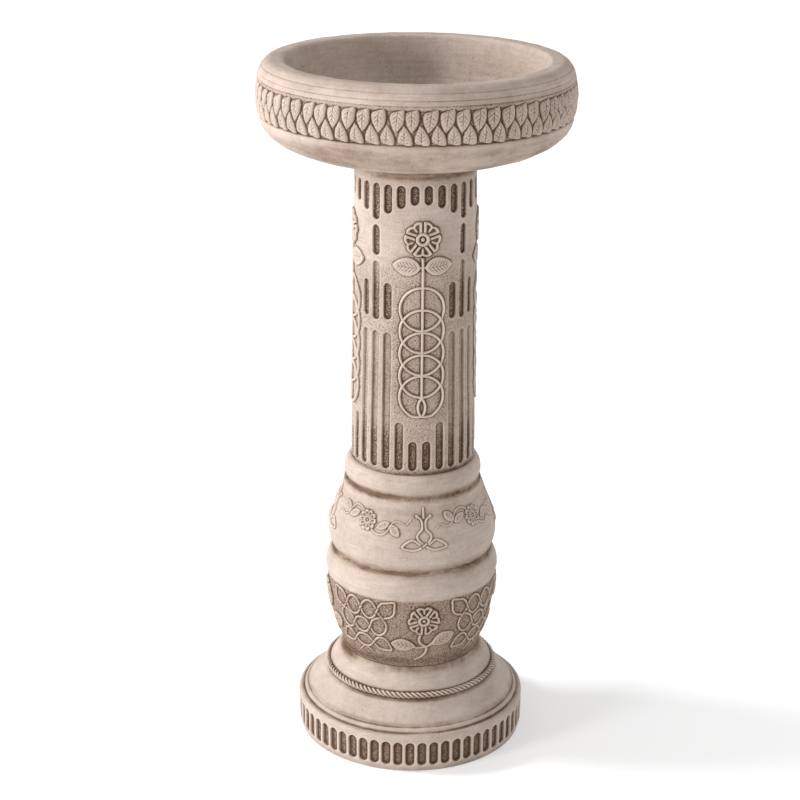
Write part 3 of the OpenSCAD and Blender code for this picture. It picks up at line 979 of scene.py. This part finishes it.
def stone(name):
    material, tree, shader = new_material(name, 0.88)
    place = node(tree, "TexCoord").outputs["Object"]
    hollow, ground, proud = (
        node(tree, "Attribute", attribute_name=label).outputs["Fac"]
        for label in ("hollow", "ground", "proud")
    )
    patches = stretch(tree, noise(tree, place, 45), 0.38, 0.64)
    mottle = stretch(tree, noise(tree, place, 5, 6, 0.7), 0.36, 0.66)
    specks = stretch(tree, noise(tree, place, 1.1, 2), 0.40, 0.66)
    level = node(tree, "Mapping", {"Vector": place, "Scale": (0.12, 0.12, 1.0)}).outputs[0]
    brushed = stretch(tree, noise(tree, level, 3.2, 3), 0.36, 0.66)
    facing = node(tree, "SeparateXYZ", {0: node(tree, "NewGeometry").outputs["Normal"]})
    upright = maths(tree, "SUBTRACT", 1.0, maths(tree, "ABSOLUTE", facing.outputs["Z"]), clamp=True)
    brushed = maths(tree, "MULTIPLY", brushed, maths(tree, "MULTIPLY", upright, 2.0, clamp=True))
    colour = STONE_MID
    # The proud layer paints crests pale: worn stone with a painted highlight.
    for layer, share, tint in (
        (patches, 0.55, STONE_DARK),
        (mottle, 0.4, STONE_LIGHT),
        (brushed, 0.36, STONE_DARK),
        (specks, 0.16, STONE_DARK),
        (proud, 0.36, STONE_LIGHT),
    ):
        colour = mixed(tree, maths(tree, "MULTIPLY", layer, share), colour, tint)
    streaks = node(tree, "Mapping", {"Vector": place, "Scale": (0.4, 0.4, 1.0)}).outputs[0]
    fine = stretch(tree, noise(tree, streaks, 1.3, 3, 0.7), 0.36, 0.64)
    blotches = maths(tree, "ADD", maths(tree, "MULTIPLY", fine, 0.5), 0.5)
    stained = maths(tree, "MULTIPLY", ground, blotches)
    patchy = maths(tree, "ADD", maths(tree, "MULTIPLY", patches, 0.3), 0.75)
    in_hollow = maths(tree, "MULTIPLY", hollow, patchy)
    both = maths(tree, "ADD", maths(tree, "MULTIPLY", stained, 0.85), in_hollow)
    darkening = maths(tree, "MINIMUM", both, 1.0)
    # The wash colours paint brown wash in hollows and on rough ground, and painted shade in creases and under
    # overhangs.
    colour = mixed(tree, darkening, colour, THIN_WASH_AND_SHADE, "MULTIPLY")
    colour = mixed(tree, maths(tree, "MULTIPLY", darkening, darkening), colour, THICK_WASH_AND_SHADE, "MULTIPLY")
    coarse = maths(tree, "MULTIPLY", noise(tree, place, 3.5), 0.5)
    grit = maths(tree, "ADD", noise(tree, place, 0.8, 3), coarse)
    dress(tree, shader, colour, grit, 0.5, 0.0006, mottle, smooth=0.8, rough=0.95)
    return material


# %% [markdown]
# ## Putting the castings in place
# Each carved casting takes the place of the frame's plain one and rides on the same body, so that it
# turns and lifts with it.

# %% Ride, replace and finish the castings
carved = {"base": base_piece, "vase": vase_piece, "column": column_piece, "bowl": bowl_piece}
for name, piece in carved.items():
    piece.data.materials.append(stone(name + "_stone_finish"))
    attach(piece, name)
    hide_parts(name + "_casting")
    print(piece.name, "rides on", name)

# %% [markdown]
# ## Dowels, sleeves and seat rings
# These sit inside the joints and show only when a casting is lifted off. Their shapes in the frame are
# right, so they keep them and get a finish: drawn steel with fine rings, moulded plastic with a faint
# texture, and soft black rubber.

# %% Finishes of the fittings
def steel():
    material, tree, shader = new_material("drawn_steel", 0.3, 1.0)
    place = node(tree, "TexCoord").outputs["Object"]
    flat = node(tree, "Mapping", {"Vector": place, "Scale": (0.05, 0.05, 1.0)}).outputs[0]
    rings = noise(tree, flat, 0.4, 2)
    dull = noise(tree, place, 9)
    colour = mixed(tree, stretch(tree, dull, 0.35, 0.7), (0.55, 0.56, 0.57, 1), (0.36, 0.36, 0.36, 1))
    dress(tree, shader, colour, rings, 0.3, 0.0001, rings, smooth=0.25, rough=0.5)
    return material


def moulded(name, dark, pale, roughness, size, depth):
    """Plastic or rubber: a dark colour with paler dust, and a fine moulded texture."""
    material, tree, shader = new_material(name, roughness)
    place = node(tree, "TexCoord").outputs["Object"]
    dust = stretch(tree, noise(tree, place, 14, 6), 0.4, 0.75)
    texture = noise(tree, place, size)
    dress(tree, shader, mixed(tree, dust, dark, pale), texture, 0.4, depth, dust, roughness, roughness + 0.2)
    return material


fitting_finishes = {
    "dowel": steel(),
    "sleeve": moulded("moulded_plastic", (0.035, 0.037, 0.04, 1), (0.07, 0.07, 0.068, 1), 0.45, 0.7, 0.00008),
    "ring": moulded("soft_rubber", (0.015, 0.014, 0.013, 1), (0.05, 0.046, 0.042, 1), 0.7, 1.4, 0.0002),
}
for name, solid in frame["nodes"].items():
    finish = fitting_finishes.get(name.rsplit("_", 1)[1])
    if finish:
        for material_slot in solid.material_slots:
            material_slot.material = finish
        print(name, "gets", finish.name)

# %% [markdown]
# ## Floor, light and camera
# A pale floor that reaches far behind the object and an even white sky make a clean background. The floor
# glows a little, and more so far away, so that it runs into the sky. The sky is pure white only where it is
# seen directly; as a light it is dimmer. Two lamps on the left, one low and one high, model the carving,
# and a weak one on the right keeps its shadows open.

# %% Floor
REACH = 30.0
corners = [(-REACH, -REACH, 0), (REACH, -REACH, 0), (REACH, REACH, 0), (-REACH, REACH, 0)]
floor_mesh = bpy.data.meshes.new("studio_floor")
floor_mesh.from_pydata(corners, [], [(0, 1, 2, 3)])
floor = add_object("studio_floor", floor_mesh)
floor_material, floor_tree, floor_shader = new_material("pale_floor", 0.9)
floor_shader.inputs["Base Color"].default_value = (0.8, 0.8, 0.8, 1)
floor_shader.inputs["Emission Color"].default_value = (1, 1, 1, 1)
spot = node(floor_tree, "TexCoord").outputs["Object"]
away = node(floor_tree, "VectorMath", {0: spot}, operation="LENGTH").outputs["Value"]
near_and_far = {"From Min": 0.3, "From Max": 3.0, "To Min": 0.25, "To Max": 0.55}
glow = node(floor_tree, "MapRange", {"Value": away, **near_and_far})
floor_tree.links.new(glow.outputs[0], floor_shader.inputs["Emission Strength"])
floor_mesh.materials.append(floor_material)
print("floor", 2 * REACH, "m wide")

# %% Light
SKY_LIGHT = 0.63
world = bpy.data.worlds.new("even_sky")
world.use_nodes = True
sky = world.node_tree
background = sky.nodes["Background"].inputs
background["Color"].default_value = (1, 1, 1, 1)
seen_directly = node(sky, "LightPath").outputs["Is Camera Ray"]
sky.links.new(maths(sky, "MAXIMUM", seen_directly, SKY_LIGHT), background["Strength"])
bpy.context.scene.world = world
bpy.context.scene.view_settings.view_transform = "Standard"


def lamp(name, place, aim, size, power):
    light = bpy.data.lights.new(name, "AREA")
    light.shape = "DISK"
    light.size = size
    light.energy = power
    made = add_object(name, light)
    made.location = place
    made.rotation_euler = (Vector(aim) - Vector(place)).to_track_quat("-Z", "Y").to_euler()
    print(name, power, "W")


lamp("left_low", (-3.2, -1.7, 0.95), (0, 0, 0.5), 0.9, 76)
lamp("left_high", (-2.9, 0.6, 2.3), (0, 0, 0.6), 0.9, 92)
lamp("right_side", (2.3, -0.1, 1.9), (0, 0, 0.6), 1.2, 10)

# %% Camera
CAMERA_PLACE = Vector((-0.2209, -2.0338, 1.1354))
YAW, PITCH, ROLL = math.radians(5.794), math.radians(20.103), math.radians(0.467)
LENS, SENSOR_WIDTH = 90.27, 36
view = Vector((math.sin(YAW) * math.cos(PITCH), math.cos(YAW) * math.cos(PITCH), -math.sin(PITCH)))
level = Vector((math.cos(YAW), -math.sin(YAW), 0))
upright = level.cross(view)
right = math.cos(ROLL) * level + math.sin(ROLL) * upright
up = math.cos(ROLL) * upright - math.sin(ROLL) * level
camera_data = bpy.data.cameras.new("camera")
camera_data.lens = LENS
camera_data.sensor_width = SENSOR_WIDTH
camera = add_object("camera", camera_data)
axes = (right, up, -view)
camera.matrix_world = Matrix.Translation(CAMERA_PLACE) @ Matrix(axes).transposed().to_4x4()
bpy.context.scene.camera = camera
print("camera at", tuple(round(c, 2) for c in CAMERA_PLACE))
